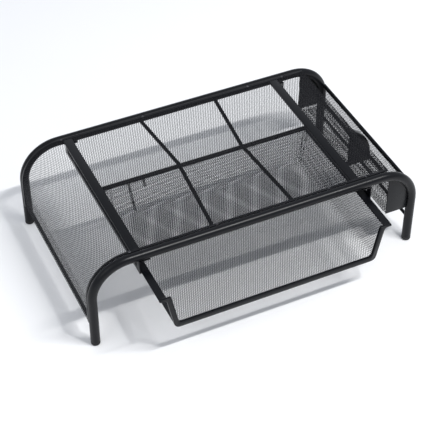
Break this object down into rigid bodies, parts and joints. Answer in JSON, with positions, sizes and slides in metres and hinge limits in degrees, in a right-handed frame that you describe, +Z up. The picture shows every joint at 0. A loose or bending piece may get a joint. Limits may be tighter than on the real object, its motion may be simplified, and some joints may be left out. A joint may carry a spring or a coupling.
{
  "type": "monitor riser stand",
  "caption": "Low black mesh platform on bent tube legs that lifts a screen above a desk, with a sliding drawer under it and a divided organizer in the right bend.",
  "frame": {"origin": "on the floor, at the middle of the footprint of the stand with its drawer partly open", "axes": "+Z up, +X along the width towards the organizer, +Y towards the rear; the drawer opens along -Y"},
  "size_m": [0.508, 0.344, 0.1443],
  "materials": {
    "powder_coat": "satin black powder coat",
    "coated_mesh": "satin black powder coat on expanded metal",
    "foot_rubber": "matt",
    "fastener": "black zinc"
  },
  "bodies": {
    "frame": {"front_tube": "powder_coat", "rear_tube": "powder_coat", "foot_front_left": "foot_rubber", "foot_front_right": "foot_rubber", "foot_rear_left": "foot_rubber", "foot_rear_right": "foot_rubber", "left_wide_bar": "powder_coat", "right_wide_bar": "powder_coat", "middle_bar": "powder_coat", "left_chevron_bar": "powder_coat", "right_chevron_bar": "powder_coat", "front_edge_strip": "powder_coat", "rear_edge_strip": "powder_coat", "edge_rivets": "fastener", "side_mesh": "coated_mesh", "deck_mesh": "coated_mesh", "organizer_top_mesh": "coated_mesh", "left_bottom_rod": "powder_coat", "right_bottom_rod": "powder_coat", "side_mesh_hem": "coated_mesh", "left_rail": "powder_coat", "right_rail": "powder_coat", "rail_screws": "fastener", "organizer_rear_plate": "powder_coat", "organizer_divider": "powder_coat", "organizer_front_plate": "powder_coat", "organizer_inner_mesh": "coated_mesh", "organizer_floor_mesh": "coated_mesh", "organizer_outer_mesh": "coated_mesh", "organizer_rim": "powder_coat", "organizer_foot_strip": "powder_coat"},
    "drawer": {"drawer_front_frame": "powder_coat", "drawer_left_flange": "powder_coat", "drawer_right_flange": "powder_coat", "drawer_rear_rim": "powder_coat", "drawer_bottom_mesh": "coated_mesh", "drawer_left_mesh": "coated_mesh", "drawer_right_mesh": "coated_mesh", "drawer_rear_mesh": "coated_mesh"}
  },
  "joints": [
    {"name": "drawer_slide", "type": "slide", "parent": "frame", "child": "drawer", "axis": [0, -1, 0], "range_m": [-0.054, 0.12]}
  ]
}
